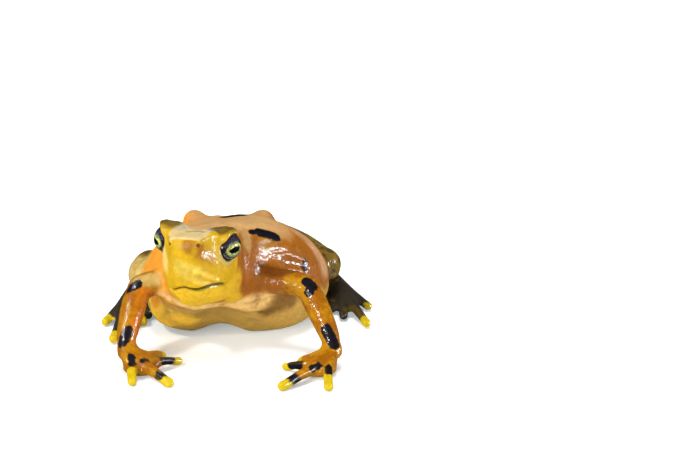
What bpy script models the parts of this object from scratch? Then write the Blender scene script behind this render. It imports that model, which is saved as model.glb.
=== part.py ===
"""Panamanian golden frog, a large female sitting raised on its arms, life size.

The frog faces -Y, its left is +X and the floor is z = 0. Sizes are in millimetres here and
the finished meshes are scaled to metres. Head, torso and arms are modelled whole and parted
with thin cuts; the folded hind legs are separate pieces let into the soft flanks.
"""

import math

import bmesh
import bpy
import numpy as np
from mathutils import Matrix
from mathutils import Vector

MM = 0.001
GAP = 0.3  # air between neighbouring pieces
CELL = 0.34  # mesh spacing while the body is shaped
PELVIS_X = 1.25  # the hips are square to the view, a little left of the head

# Head, in its own axes: forward, to the frog's left, up, from the midpoint of the eyeballs
HEAD_MIDDLE = (-2.85, -19.2, 22.9)
HEAD_YAW = 12.0  # degrees, turned toward the frog's right
HEAD_PITCH = 6.0  # degrees, nose up
HEAD_BACK = -9.0
EYE_SPOT = {1: (5.42, -0.2), -1: (4.85, 0.4)}  # out and up, left then right
EYE_RADIUS = 2.75
EYE_TURN = 68.0  # degrees from straight ahead
EYE_LIFT = 6.0
LID_SIZES = (3.6, 3.15, 3.3)  # across, along the eye's axis, up
LID_BEHIND = 1.0
# Ridge over the eye: angle round the eye from its front, angle from its axis, radius
EYE_RIDGE = ((5, 92, 0.6), (38, 71, 0.75), (66, 66, 0.8), (100, 72, 0.85), (135, 86, 0.8), (160, 98, 0.6))
RIDGE_AWAY = 2.85
BROW_UP = 1.7
BROW_HALF = {1: 1.8, -1: 2.2}

# Plan outlines of the head from throat to crown: height, front, then half widths of the
# snout corner and of the side at the fractions of the length in SIDE_PLACES
SIDE_PLACES = (0.985, 0.95, 0.80, 0.63, 0.46, 0.28, 0.0)
HEAD_LEVELS = (
    (-11.4, 1.2, 0.7, 1.0, 1.9, 2.9, 3.8, 4.6, 5.5),
    (-10.6, 3.5, 1.0, 1.5, 2.6, 3.7, 4.6, 5.4, 6.2),
    (-9.4, 4.9, 1.3, 2.0, 3.4, 4.4, 5.1, 5.8, 6.5),
    (-8.3, 5.5, 1.5, 2.4, 3.9, 4.8, 5.4, 6.0, 6.6),
    (-7.2, 6.0, 1.6, 2.6, 4.2, 5.0, 5.5, 6.1, 6.6),
    (-5.4, 6.6, 1.6, 2.6, 4.7, 5.8, 6.4, 6.7, 6.6),
    (-2.6, 7.5, 1.6, 2.7, 4.5, 5.8, 6.5, 6.7, 6.3),
    (0.0, 8.25, 1.6, 2.6, 4.0, 5.3, 6.2, 6.5, 5.8),
    (1.3, 8.5, 1.6, 2.6, 3.8, 4.9, 6.0, 6.3, 5.2),
    (2.3, 8.3, 1.5, 2.5, 3.5, 4.4, 5.4, 5.6, 4.4),
    (2.8, 7.8, 1.2, 2.0, 2.9, 3.6, 4.6, 4.8, 3.6),
)
NAPE_DROOP = 2.2
# Mouth line: degrees round the jaw from straight ahead, right to left, and height
MOUTH_LINE = (
    (-50, -8.0),
    (-30, -7.85),
    (-14, -7.55),
    (-10, -7.27),
    (-7, -7.02),
    (-2, -6.74),
    (2.5, -6.9),
    (7, -7.03),
    (12, -6.9),
    (17, -6.67),
    (22, -6.56),
    (28, -6.6),
    (34, -6.8),
    (50, -7.5),
)
MOUTH_PIVOT = -6.0  # forward place the degrees are counted round
MOUTH_CORNER = -1.0
MOUTH_WIDTH = 0.26
MOUTH_DEPTH = 0.5
LIPS = (0.16, 0.75, 0.4)  # swelling, its distance from the line, its half width
NOSTRIL = (7.7, 2.5, 1.4)
NOSTRIL_SIZE = (0.5, 0.42, 0.36)

# Trunk sections: y, x of the middle, top, bottom, half width, height of the widest place,
# power of the underside (2 is an ellipse, more is squarer)
TRUNK = (
    (-20.5, -3.0, 19.0, 12.3, 3.2, 16.0, 2.2),
    (-17.0, -2.3, 23.0, 10.6, 6.0, 15.5, 2.3),
    (-13.0, -1.5, 24.0, 7.5, 7.8, 14.0, 2.5),
    (-9.0, -0.3, 23.4, 3.9, 9.8, 11.2, 3.2),
    (-5.0, 1.5, 22.3, 0.5, 14.0, 8.6, 4.0),
    (0.0, 2.6, 21.1, -0.5, 16.5, 7.4, 3.3),
    (5.0, 2.9, 20.0, -0.2, 17.6, 7.0, 2.6),
    (10.0, 2.5, 18.6, -0.4, 16.0, 7.0, 2.5),
    (14.0, 1.9, 17.1, -0.2, 12.9, 7.4, 2.3),
    (18.0, 1.5, 15.0, 0.6, 9.6, 7.8, 2.1),
    (22.0, 1.3, 12.4, 2.0, 6.6, 7.4, 2.0),
    (25.4, 1.25, 9.7, 3.8, 3.9, 6.9, 2.0),
    (27.2, 1.25, 7.8, 5.4, 1.5, 6.6, 2.0),
)
# Ridge over each hip joint: distance from the middle of the back, y, z, radius
HIP_RIDGE = (
    (5.6, 8.0, 16.6, 1.6),
    (6.5, 12.0, 16.6, 2.3),
    (6.4, 15.0, 15.0, 2.2),
    (5.4, 19.0, 12.0, 1.8),
)

# Arms: stations of x, y, z, radius from the shoulder to the elbow and on to the wrist
ARMS = {
    "L": {
        "upper": (
            (4.6, -6.6, 12.0, 3.6),
            (9.0, -8.7, 12.2, 3.0),
            (13.2, -10.2, 12.2, 2.45),
            (16.4, -11.2, 11.7, 2.15),
        ),
        "lower": (
            (16.9, -11.2, 11.3, 2.15),
            (18.1, -13.6, 9.4, 2.25),
            (19.7, -17.0, 7.0, 2.05),
            (21.0, -20.0, 4.6, 1.75),
            (21.4, -21.8, 3.3, 1.7),
        ),
    },
    "R": {
        "upper": (
            (-5.6, -7.2, 12.2, 3.5),
            (-8.8, -9.6, 12.4, 2.9),
            (-11.6, -11.4, 12.4, 2.45),
            (-13.7, -12.5, 12.1, 2.2),
        ),
        "lower": (
            (-14.0, -12.7, 11.7, 2.15),
            (-14.6, -15.0, 9.6, 2.3),
            (-15.3, -18.2, 7.0, 2.05),
            (-15.7, -21.0, 4.6, 1.75),
            (-15.5, -22.5, 3.4, 1.7),
        ),
    },
}
# Fingers I to IV: knuckle then tip
FINGERS = {
    "L": (
        ((17.6, -22.4, 1.9), (15.6, -20.9, 0.9)),
        ((16.8, -24.9, 1.9), (12.9, -22.9, 0.75)),
        ((18.0, -26.6, 2.0), (12.5, -32.2, 0.85)),
        ((20.4, -26.6, 1.9), (20.6, -32.5, 0.85)),
    ),
    "R": (
        ((-12.0, -21.2, 1.9), (-9.6, -17.9, 0.9)),
        ((-10.6, -23.4, 1.9), (-6.4, -20.2, 0.75)),
        ((-12.0, -25.9, 2.0), (-7.4, -30.6, 0.85)),
        ((-14.4, -26.0, 1.9), (-13.9, -29.9, 0.85)),
    ),
}
LEG_MESH = (12, 14)  # rings and sides
FINGER_RADII = (1.2, 0.95, 1.12, 1.05)
FINGER_TIPS = (0.9, 0.86, 1.0, 0.98)

# Hind leg on the left, mirrored at the pelvis for the right
THIGH = (
    (5.4, 22.6, 9.1, 3.3),
    (9.2, 20.0, 9.6, 4.0),
    (14.2, 15.8, 9.5, 3.6),
    (18.2, 12.0, 9.0, 2.85),
    (19.9, 10.4, 8.7, 2.5),
)
SHANK = (
    (20.3, 10.9, 7.3, 2.3),
    (20.0, 15.6, 6.9, 2.6),
    (18.0, 21.5, 6.2, 2.1),
    (15.7, 27.0, 4.5, 1.75),
)
FEET = {
    "L": {"ankle": (15.3, 28.4, 2.2), "arch": (20.9, 19.5, 2.0), "turn": 17.0},
    "R": {"ankle": (-13.0, 24.8, 2.2), "arch": (-17.2, 12.5, 2.0), "turn": 5.0},
}
# The right leg is swung forward from its hip by this many degrees
LEG_SWING = {"L": 0.0, "R": 13.0}
HIP_PIVOT = (4.0, 22.0)
KNEE_DROP = {"L": 0.0, "R": 1.6}
# Toes I to V: forward, outward and height of the knuckle, then of the tip
TOES = (
    ((6.0, -2.6, 1.4), (9.6, -4.4, 0.9)),
    ((7.4, -1.8, 1.6), (13.2, -4.0, 0.9)),
    ((8.6, -0.9, 1.8), (17.4, -2.9, 0.95)),
    ((9.4, 0.1, 1.9), (22.7, 0.0, 1.0)),
    ((8.6, 1.2, 1.8), (13.9, 3.1, 0.95)),
)

# Thin cuts: place, direction across the cut, half width, half height
CUTS = {
    "neck": ((-2.0, -14.4, 15.6), (-0.10, -0.99, 0.09), 9.6, 11.0),
    "shoulder_L": ((13.0, -10.2, 12.1), (0.96, -0.27, -0.05), 3.5, 4.0),
    "shoulder_R": ((-11.0, -11.0, 12.4), (-0.85, -0.53, 0.0), 3.3, 3.9),
    "elbow_L": ((17.15, -12.1, 10.6), (0.36, -0.74, -0.56), 3.6, 3.6),
    "elbow_R": ((-14.3, -13.6, 10.9), (-0.2, -0.78, -0.60), 3.4, 3.4),
    "wrist_L": ((21.1, -20.6, 4.2), (0.25, -0.70, -0.66), 3.0, 3.2),
    "wrist_R": ((-15.6, -21.3, 4.4), (-0.1, -0.74, -0.66), 3.0, 3.2),
}
ANCHORS = {
    "head": (-3.4, -20.5, 18.0),
    "torso": (2.0, 3.0, 10.0),
    "upper_arm_L": (14.0, -10.4, 12.0),
    "upper_arm_R": (-13.5, -11.8, 12.2),
    "forearm_L": (19.0, -16.5, 7.3),
    "forearm_R": (-16.0, -18.0, 7.2),
    "hand_L": (18.2, -26.0, 1.8),
    "hand_R": (-12.4, -24.6, 1.8),
}
FRONT_TRIANGLES = 8400
FOOT_TRIANGLES = 900

COLOURS = {
    "head": (0.78, 0.52, 0.03),
    "torso": (0.72, 0.34, 0.06),
    "upper_arm": (0.80, 0.40, 0.03),
    "forearm": (0.80, 0.36, 0.02),
    "hand": (0.83, 0.44, 0.02),
    "eye": (0.03, 0.03, 0.02),
    "thigh": (0.22, 0.16, 0.04),
    "shank": (0.16, 0.12, 0.04),
    "foot": (0.14, 0.11, 0.04),
}


def clear_scene():
    for obj in list(bpy.data.objects):
        bpy.data.objects.remove(obj, do_unlink=True)


def smooth_curve(rows, count):
    """Catmull-Rom curve through rows of numbers."""
    rows = np.asarray(rows, float)
    padded = np.vstack([2 * rows[0] - rows[1], rows, 2 * rows[-1] - rows[-2]])
    places = np.linspace(0, len(rows) - 1, count)
    cell = np.minimum(places.astype(int), len(rows) - 2)
    t = (places - cell)[:, None]
    a, b, c, d = (padded[cell + k] for k in range(4))
    bend = 2 * a - 5 * b + 4 * c - d
    return 0.5 * (2 * b + (c - a) * t + bend * t**2 + (3 * b - a - 3 * c + d) * t**3)


def unit(vectors):
    vectors = np.asarray(vectors, float)
    return vectors / np.linalg.norm(vectors, axis=-1, keepdims=True)


def new_object(name, mesh):
    obj = bpy.data.objects.new(name, mesh)
    bpy.context.collection.objects.link(obj)
    return obj


def loft(name, rings):
    """Closed body through rings of points, with flat ends."""
    rings = np.asarray(rings)
    count, sides = rings.shape[:2]
    points = np.vstack([rings.reshape(-1, 3), rings[0].mean(0), rings[-1].mean(0)])
    first, last = count * sides, (count - 1) * sides
    faces = []
    for s in range(sides):
        n = (s + 1) % sides
        faces.append((first, n, s))
        faces.append((first + 1, last + s, last + n))
        for r in range(count - 1):
            faces.append((r * sides + s, r * sides + n, (r + 1) * sides + n, (r + 1) * sides + s))
    mesh = bpy.data.meshes.new(name)
    mesh.from_pydata(points.tolist(), [], faces)
    face_outward(mesh)
    return new_object(name, mesh)


def face_outward(mesh):
    work = bmesh.new()
    work.from_mesh(mesh)
    bmesh.ops.recalc_face_normals(work, faces=work.faces)
    work.to_mesh(mesh)
    work.free()


def tube(name, stations, rings=24, sides=22, squash=1.0, grow=0.0):
    """Round limb with domed ends through stations of x, y, z, radius."""
    rows = smooth_curve(stations, rings)
    path = rows[:, :3]
    radius = rows[:, 3] + grow
    along = unit(np.gradient(path, axis=0))
    across = unit(np.cross(along, (0.0, 0.0, 1.0)))
    lift = np.cross(across, along)
    domes = np.radians((84.0, 66.0, 44.0, 22.0))
    spots = [(0, -math.sin(a), math.cos(a)) for a in domes]
    spots += [(k, 0.0, 1.0) for k in range(rings)]
    spots += [(rings - 1, math.sin(a), math.cos(a)) for a in domes[::-1]]
    turn = np.linspace(0, 2 * math.pi, sides, endpoint=False)
    result = []
    for k, ahead, size in spots:
        centre = path[k] + along[k] * radius[k] * ahead
        ring = np.outer(np.cos(turn), across[k]) + squash * np.outer(np.sin(turn), lift[k])
        result.append(centre + ring * radius[k] * size)
    return loft(name, result)


def blob(name, place, sizes, turn=0.0, fine=4):
    """Ellipsoid, turned about the upright by some degrees."""
    work = bmesh.new()
    bmesh.ops.create_icosphere(work, subdivisions=fine, radius=1.0)
    matrix = Matrix.Translation(place) @ Matrix.Rotation(math.radians(turn), 4, "Z")
    bmesh.ops.transform(work, matrix=matrix @ Matrix.Diagonal((*sizes, 1.0)), verts=work.verts)
    mesh = bpy.data.meshes.new(name)
    work.to_mesh(mesh)
    work.free()
    return new_object(name, mesh)


def head_axes():
    yaw, pitch = math.radians(HEAD_YAW), math.radians(HEAD_PITCH)
    forward = Vector((-math.sin(yaw) * math.cos(pitch), -math.cos(yaw) * math.cos(pitch), math.sin(pitch)))
    left = Vector((math.cos(yaw), -math.sin(yaw), 0.0))
    return np.array([forward, left, left.cross(-forward)])


HEAD_AXES = head_axes()


def head_point(forward, left, up):
    return np.array(HEAD_MIDDLE) + np.array([forward, left, up]) @ HEAD_AXES


def in_head(points):
    return (points - np.array(HEAD_MIDDLE)) @ HEAD_AXES.T


def eye_centre(side):
    out, up = EYE_SPOT[side]
    return head_point(0.0, side * out, up)


def eye_axis(side):
    turn, lift = math.radians(EYE_TURN), math.radians(EYE_LIFT)
    local = (math.cos(turn) * math.cos(lift), side * math.sin(turn) * math.cos(lift), math.sin(lift))
    return np.array(local) @ HEAD_AXES


def eye_ridge(side):
    """Ridge that leans over the front of the eye from above."""
    axis = eye_axis(side)
    ahead = unit(HEAD_AXES[0] - (HEAD_AXES[0] @ axis) * axis)
    above = unit(HEAD_AXES[2] - (HEAD_AXES[2] @ axis) * axis)
    stations = []
    for around, away, radius in EYE_RIDGE:
        around, away = math.radians(around), math.radians(away)
        outward = math.cos(around) * ahead + math.sin(around) * above
        place = eye_centre(side) + RIDGE_AWAY * (math.cos(away) * axis + math.sin(away) * outward)
        stations.append((*place, radius))
    return stations


def read_points(mesh):
    points = np.empty(len(mesh.vertices) * 3)
    mesh.vertices.foreach_get("co", points)
    return points.reshape(-1, 3)


def read_normals(mesh):
    normals = np.empty(len(mesh.vertices) * 3)
    mesh.vertex_normals.foreach_get("vector", normals)
    return normals.reshape(-1, 3)


def write_points(mesh, points):
    mesh.vertices.foreach_set("co", points.ravel())
    mesh.update()


def near_line(points, line):
    """Distance of each point from a line of points."""
    line = np.asarray(line, float)
    best = np.full(len(points), 1e9)
    for start, end in zip(line[:-1], line[1:]):
        step = end - start
        t = np.clip((points - start) @ step / (step @ step), 0.0, 1.0)
        best = np.minimum(best, np.linalg.norm(points - start - t[:, None] * step, axis=1))
    return best


def bump(distance, width):
    """One at the line, falling smoothly to nothing at the width."""
    return np.clip(1.0 - (distance / width) ** 2, 0.0, 1.0) ** 2


def relax(mesh, weight, rounds):
    """Even out a surface, each point by its own weight."""
    points = read_points(mesh)
    ends = np.empty(len(mesh.edges) * 2, int)
    mesh.edges.foreach_get("vertices", ends)
    ends = ends.reshape(-1, 2)
    here = np.concatenate([ends[:, 0], ends[:, 1]])
    there = np.concatenate([ends[:, 1], ends[:, 0]])
    share = 1.0 / np.bincount(here, minlength=len(points))
    for _ in range(rounds):
        mean = [np.bincount(here, points[there, k], len(points)) * share for k in range(3)]
        points += weight[:, None] * (np.array(mean).T - points)
    write_points(mesh, points)


def baked(obj):
    """Apply the modifiers of an object."""
    graph = bpy.context.evaluated_depsgraph_get()
    mesh = bpy.data.meshes.new_from_object(obj.evaluated_get(graph))
    obj.modifiers.clear()
    old = obj.data
    obj.data = mesh
    bpy.data.meshes.remove(old)
    return obj


def fuse(name, pieces, cell=CELL):
    """Join pieces into one closed skin."""
    work = bmesh.new()
    for piece in pieces:
        work.from_mesh(piece.data)
        bpy.data.objects.remove(piece, do_unlink=True)
    mesh = bpy.data.meshes.new(name)
    work.to_mesh(mesh)
    work.free()
    body = new_object(name, mesh)
    remesh = body.modifiers.new("skin", "REMESH")
    remesh.mode = "VOXEL"
    remesh.voxel_size = cell
    return baked(body)


def head_pieces():
    rings = []
    for row in smooth_curve(HEAD_LEVELS, 60):
        up, front = row[0], row[1]
        places = HEAD_BACK + np.array(SIDE_PLACES) * (front - HEAD_BACK)
        side = np.column_stack([np.append(front, places), np.append(0.0, row[2:])])
        side = smooth_curve(side, 26)
        droop = NAPE_DROOP * np.clip((-2.5 - side[:, 0]) / 6.5, 0, 1) ** 1.5 * np.clip(up / 2.8, 0, 1)
        half = [head_point(f, max(w, 0.0), up - d) for (f, w), d in zip(side, droop)]
        other = [head_point(f, -max(w, 0.0), up - d) for (f, w), d in zip(side[:0:-1], droop[:0:-1])]
        rings.append(half + other)
    pieces = [loft("skull", rings)]
    for side in (1, -1):
        lid = eye_centre(side) - eye_axis(side) * LID_BEHIND
        pieces.append(blob("lid", lid, LID_SIZES, side * EYE_TURN - HEAD_YAW))
        brow = head_point(-0.4, side * EYE_SPOT[side][0], BROW_UP)
        pieces.append(blob("brow", brow, (BROW_HALF[side], 2.8, 1.2), -HEAD_YAW - side * 12))
        pieces.append(tube("eye_ridge", eye_ridge(side)))
        ridge = [
            (*head_point(2.4, side * 4.0, 2.1), 0.9),
            (*head_point(5.2, side * 3.1, 2.0), 0.7),
            (*head_point(7.6, side * 2.2, 1.9), 0.6),
        ]
        pieces.append(tube("canthus", ridge))
    return pieces


def trunk_pieces():
    turn = np.linspace(0, 2 * math.pi, 72, endpoint=False)
    c, s = np.cos(turn), np.sin(turn)
    rings = []
    for y, middle, top, bottom, half, widest, under in smooth_curve(TRUNK, 90):
        power = np.where(s > 0, 2.05, under)
        x = middle + half * np.sign(c) * np.abs(c) ** (2 / power)
        rise = np.where(s > 0, top - widest, widest - bottom)
        z = widest + rise * np.sign(s) * np.abs(s) ** (2 / power)
        rings.append(np.column_stack([x, np.full(len(x), y), z]))
    pieces = [loft("trunk", rings)]
    for side in (1, -1):
        ridge = [(PELVIS_X + side * out, y, z, radius) for out, y, z, radius in HIP_RIDGE]
        pieces.append(tube("hip", ridge))
    return pieces


def hand_pieces(side):
    wrist = np.array(ARMS[side]["lower"][-1][:3])
    pieces = []
    for (knuckle, tip), base, end in zip(FINGERS[side], FINGER_RADII, FINGER_TIPS):
        knuckle, tip = np.array(knuckle), np.array(tip)
        middle = knuckle * 0.5 + tip * 0.5 + (0, 0, 0.12)
        neck = knuckle * 0.2 + tip * 0.8
        stations = [
            (*(wrist * 0.55 + knuckle * 0.45), 1.35),
            (*knuckle, base),
            (*middle, base * 0.86),
            (*neck, base * 0.84),
            (*tip, end),
        ]
        pieces.append(tube("finger", stations, sides=16))
    palm = np.mean([k for k, _ in FINGERS[side]] + [wrist], axis=0)
    pieces.append(blob("palm", (palm[0], palm[1], 1.0), (3.3, 3.1, 1.15)))
    return pieces


def arm_pieces(side):
    arm = ARMS[side]
    return [tube("upper", arm["upper"]), tube("lower", arm["lower"])] + hand_pieces(side)


def leg_stations(stations, side):
    """Stations of the left leg, swung about the hip and set on their own side."""
    rows = np.array(stations)
    rows[:, 2] -= KNEE_DROP[side] * np.clip((HIP_PIVOT[1] - rows[:, 1]) / 11.0, 0, 1)
    turn = math.radians(LEG_SWING[side])
    out, back = rows[:, 0] - HIP_PIVOT[0], rows[:, 1] - HIP_PIVOT[1]
    rows[:, 0] = HIP_PIVOT[0] + out * math.cos(turn) + back * math.sin(turn)
    rows[:, 1] = HIP_PIVOT[1] + back * math.cos(turn) - out * math.sin(turn)
    if side == "R":
        rows[:, 0] = 2 * PELVIS_X - rows[:, 0]
    return rows


def foot_point(side, forward, outward, up):
    foot = FEET[side]
    turn = math.radians(foot["turn"])
    sign = 1 if side == "L" else -1
    x = foot["arch"][0] + sign * (forward * math.sin(turn) + outward * math.cos(turn))
    y = foot["arch"][1] - forward * math.cos(turn) + outward * math.sin(turn)
    return (x, y, up)


def foot_pieces(side):
    foot = FEET[side]
    middle = np.array(foot["ankle"]) * 0.5 + np.array(foot["arch"]) * 0.5
    tarsus = [(*foot["ankle"], 1.85), (*middle, 1.7), (*foot["arch"], 1.75)]
    pieces = [tube("tarsus", tarsus, squash=0.95)]
    for knuckle, tip in TOES:
        knuckle, tip = np.array(knuckle), np.array(tip)
        stations = [
            (*foot_point(side, -0.5, knuckle[1] * 0.3, 1.9), 1.4),
            (*foot_point(side, *knuckle), 1.15),
            (*foot_point(side, *(knuckle * 0.5 + tip * 0.5)), 0.98),
            (*foot_point(side, *(knuckle * 0.2 + tip * 0.8)), 0.85),
            (*foot_point(side, *tip), 0.95),
        ]
        pieces.append(tube("toe", stations, sides=16))
    sign = 1 if side == "L" else -1
    web = foot_point(side, 6.5, -0.5, 1.0)
    pieces.append(blob("web", web, (2.8, 5.6, 0.85), sign * foot["turn"]))
    return pieces


def mouth_height(local):
    """Height of the mouth line: a small peak in front, drooping a little to the corners."""
    around = np.degrees(np.arctan2(local[:, 1], np.maximum(local[:, 0] - MOUTH_PIVOT, 0.1)))
    line = smooth_curve(MOUTH_LINE, 120)
    return np.interp(around, line[:, 0], line[:, 1])


def sculpt_face(mesh):
    points, normals = read_points(mesh), read_normals(mesh)
    local = in_head(points)
    above = local[:, 2] - mouth_height(local)
    reach = np.clip((local[:, 0] - MOUTH_CORNER) / 1.2, 0, 1)
    reach *= np.clip(1.6 - np.abs(normals @ HEAD_AXES[2]) * 1.6, 0, 1)
    lips = LIPS[0] * np.exp(-(((np.abs(above) - LIPS[1]) / LIPS[2]) ** 2))
    lift = reach * (lips - MOUTH_DEPTH * np.exp(-((above / MOUTH_WIDTH) ** 2)))
    for side in (1, -1):
        nostril = head_point(NOSTRIL[0], side * NOSTRIL[1], NOSTRIL[2])
        far = np.linalg.norm(points - nostril, axis=1)
        lift += 0.2 * bump(far, 1.3)
        hollow = near_line(points, [head_point(5.0, side * 4.0, 0.2), head_point(6.4, side * 3.4, 0.1)])
        lift -= 0.3 * bump(hollow, 1.5)
        rim = eye_centre(side) + eye_axis(side) * 1.75
        away = points - rim
        depth = away @ eye_axis(side)
        ring = np.hypot(np.linalg.norm(away - depth[:, None] * eye_axis(side), axis=1) - 2.6, depth)
        lift += 0.22 * bump(ring, 0.75)
    write_points(mesh, points + normals * lift[:, None])


FOLDS = (
    # line, width, lift: shoulder creases, groove between the hips, throat folds, hollow that
    # parts the front of the belly into two soft lobes
    (((5.5, -5.0, 16.0), (9.5, -6.0, 15.4), (13.5, -5.6, 14.4), (16.6, -3.6, 13.0)), 1.3, -0.55),
    (((-7.0, -6.2, 16.4), (-10.2, -7.6, 15.6), (-13.0, -6.4, 14.2)), 1.3, -0.5),
    (((1.25, 8.0, 19.3), (1.3, 13.0, 17.6), (1.3, 18.0, 15.2)), 2.2, -0.4),
    (((-7.5, -15.0, 9.8), (-2.0, -18.5, 10.4), (4.0, -15.0, 8.6), (9.0, -9.5, 7.0)), 1.3, -0.35),
    (((-8.5, -11.5, 7.6), (-2.5, -14.5, 7.6), (4.5, -11.5, 5.6), (10.5, -7.0, 4.6)), 1.2, -0.3),
    (((0.6, -11.0, 5.2), (0.4, -6.5, 1.6), (0.6, -2.0, -0.3)), 5.8, -1.5),
)


def sculpt_folds(mesh):
    points, normals = read_points(mesh), read_normals(mesh)
    lift = np.zeros(len(points))
    for line, width, height in FOLDS:
        lift += height * bump(near_line(points, smooth_curve(line, 16)), width)
    write_points(mesh, points + normals * lift[:, None])


def blend_joins(mesh):
    """Soften the surface a little everywhere and more where parts run together."""
    points = read_points(mesh)
    away = np.full(len(points), 1e9)
    for side in "LR":
        away = np.minimum(away, np.linalg.norm(points - ARMS[side]["upper"][0][:3], axis=1) - 6.5)
    away = np.minimum(away, np.linalg.norm(points - (-1.0, -12.5, 15.0), axis=1) - 9.0)
    away = np.minimum(away, np.linalg.norm(points - (2.5, 0.0, 3.0), axis=1) - 17.0)
    for side in (1, -1):
        knob = (PELVIS_X + side * HIP_RIDGE[1][0], *HIP_RIDGE[1][1:3])
        away = np.minimum(away, np.linalg.norm(points - knob, axis=1) - 5.0)
    hands = np.clip((-13.5 - points[:, 1]) / 2.0, 0, 1)
    relax(mesh, 0.6 * np.clip(1.0 - away / 2.5, 0, 1) * (1 - hands), 30)
    relax(mesh, np.full(len(points), 0.5), 3)


def thin_out(obj, triangles):
    """Fewer faces, then flat feet exactly on the floor."""
    obj.data.update()
    count = sum(len(p.vertices) - 2 for p in obj.data.polygons)
    if count > triangles:
        thin = obj.modifiers.new("thin", "DECIMATE")
        thin.ratio = triangles / count
        thin.use_collapse_triangulate = True
        baked(obj)
    points = read_points(obj.data)
    points[points[:, 2] < 0.03, 2] = 0.0
    write_points(obj.data, points)


def stand(mesh):
    """Press what lies below the floor flat onto it."""
    points = read_points(mesh)
    points[:, 2] = np.maximum(points[:, 2], 0.0)
    write_points(mesh, points)


def take_away(obj, cutters):
    for cutter in cutters:
        cut = obj.modifiers.new("cut", "BOOLEAN")
        cut.operation = "DIFFERENCE"
        cut.object = cutter
    baked(obj)


def cut_plate(name, place, across, wide, high):
    """Thin plate with rounded corners, its face square to a limb."""
    work = bmesh.new()
    bmesh.ops.create_cone(work, cap_ends=True, segments=20, radius1=1, radius2=1, depth=1)
    turn = Vector(across).to_track_quat("Z", "Y").to_matrix().to_4x4()
    for vertex in work.verts:
        for k in (0, 1):
            vertex.co[k] = math.copysign(abs(vertex.co[k]) ** 0.5, vertex.co[k])
    matrix = Matrix.Translation(place) @ turn @ Matrix.Diagonal((wide, high, GAP, 1.0))
    bmesh.ops.transform(work, matrix=matrix, verts=work.verts)
    mesh = bpy.data.meshes.new(name)
    work.to_mesh(mesh)
    work.free()
    face_outward(mesh)
    return new_object(name, mesh)


def ball(name, place, radius, rings=20):
    work = bmesh.new()
    bmesh.ops.create_uvsphere(work, u_segments=rings, v_segments=rings // 2, radius=radius)
    bmesh.ops.translate(work, verts=work.verts, vec=place)
    mesh = bpy.data.meshes.new(name)
    work.to_mesh(mesh)
    work.free()
    return new_object(name, mesh)


def islands(obj):
    """Part an object into its closed bodies, as lists of faces."""
    work = bmesh.new()
    work.from_mesh(obj.data)
    left = set(work.verts)
    found = []
    while left:
        seed = left.pop()
        group = {seed}
        edge = [seed]
        while edge:
            vertex = edge.pop()
            for link in vertex.link_edges:
                other = link.other_vert(vertex)
                if other not in group:
                    group.add(other)
                    edge.append(other)
        left -= group
        found.append(sorted(v.index for v in group))
    points = np.array([v.co for v in work.verts])
    polygons = [[v.index for v in f.verts] for f in work.faces]
    work.free()
    result = []
    for group in found:
        place = {old: new for new, old in enumerate(group)}
        faces = [[place[v] for v in poly] for poly in polygons if poly[0] in place]
        result.append((points[group], faces))
    return result


def part_nodes(obj):
    """Name each body of the cut frog after the nearest anchor."""
    best = {}
    for points, faces in islands(obj):
        centre = (points.max(0) + points.min(0)) / 2
        name = min(ANCHORS, key=lambda key: np.linalg.norm(centre - ANCHORS[key]))
        if name not in best or len(points) > len(best[name][0]):
            best[name] = (points, faces)
    bpy.data.objects.remove(obj, do_unlink=True)
    nodes = {}
    for name, (points, faces) in best.items():
        mesh = bpy.data.meshes.new(name)
        mesh.from_pydata(points.tolist(), [], faces)
        nodes[name] = new_object(name, mesh)
    return nodes


def largest_body(obj):
    points, faces = max(islands(obj), key=lambda body: len(body[0]))
    mesh = bpy.data.meshes.new(obj.name)
    mesh.from_pydata(points.tolist(), [], faces)
    old = obj.data
    obj.data = mesh
    bpy.data.meshes.remove(old)


def build_front():
    """Head, trunk and arms as one body, shaped, then parted."""
    pieces = head_pieces() + trunk_pieces() + arm_pieces("L") + arm_pieces("R")
    frog = fuse("frog", pieces)
    blend_joins(frog.data)
    sculpt_face(frog.data)
    sculpt_folds(frog.data)
    stand(frog.data)
    thin_out(frog, FRONT_TRIANGLES)
    plates = [cut_plate(name, *values) for name, values in CUTS.items()]
    pits = [blob("nostril", head_point(NOSTRIL[0], s * NOSTRIL[1], NOSTRIL[2]), NOSTRIL_SIZE, s * 40, 2)
            for s in (1, -1)]
    sockets = [ball("socket", eye_centre(s), EYE_RADIUS + GAP * 0.8, 28) for s in (1, -1)]
    take_away(frog, plates + sockets + pits)
    for cutter in plates + sockets + pits:
        bpy.data.objects.remove(cutter, do_unlink=True)
    return part_nodes(frog)


def build_legs():
    nodes = {}
    for side in "LR":
        nodes[f"thigh_{side}"] = tube(f"thigh_{side}", leg_stations(THIGH, side), *LEG_MESH)
        nodes[f"shank_{side}"] = tube(f"shank_{side}", leg_stations(SHANK, side), *LEG_MESH)
        foot = fuse(f"foot_{side}", foot_pieces(side))
        relax(foot.data, np.full(len(foot.data.vertices), 0.5), 4)
        stand(foot.data)
        thin_out(foot, FOOT_TRIANGLES)
        nodes[f"foot_{side}"] = foot
    return nodes


def let_in(nodes):
    """Trim the soft parts round the folded legs, leaving the small gap."""
    for side in "LR":
        thigh = tube("thigh_room", leg_stations(THIGH, side), *LEG_MESH, grow=GAP)
        shank = tube("shank_room", leg_stations(SHANK, side), *LEG_MESH, grow=GAP)
        take_away(nodes["torso"], [thigh, shank])
        take_away(nodes[f"shank_{side}"], [thigh])
        take_away(nodes[f"foot_{side}"], [shank, thigh])
        for room in (thigh, shank):
            bpy.data.objects.remove(room, do_unlink=True)


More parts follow.
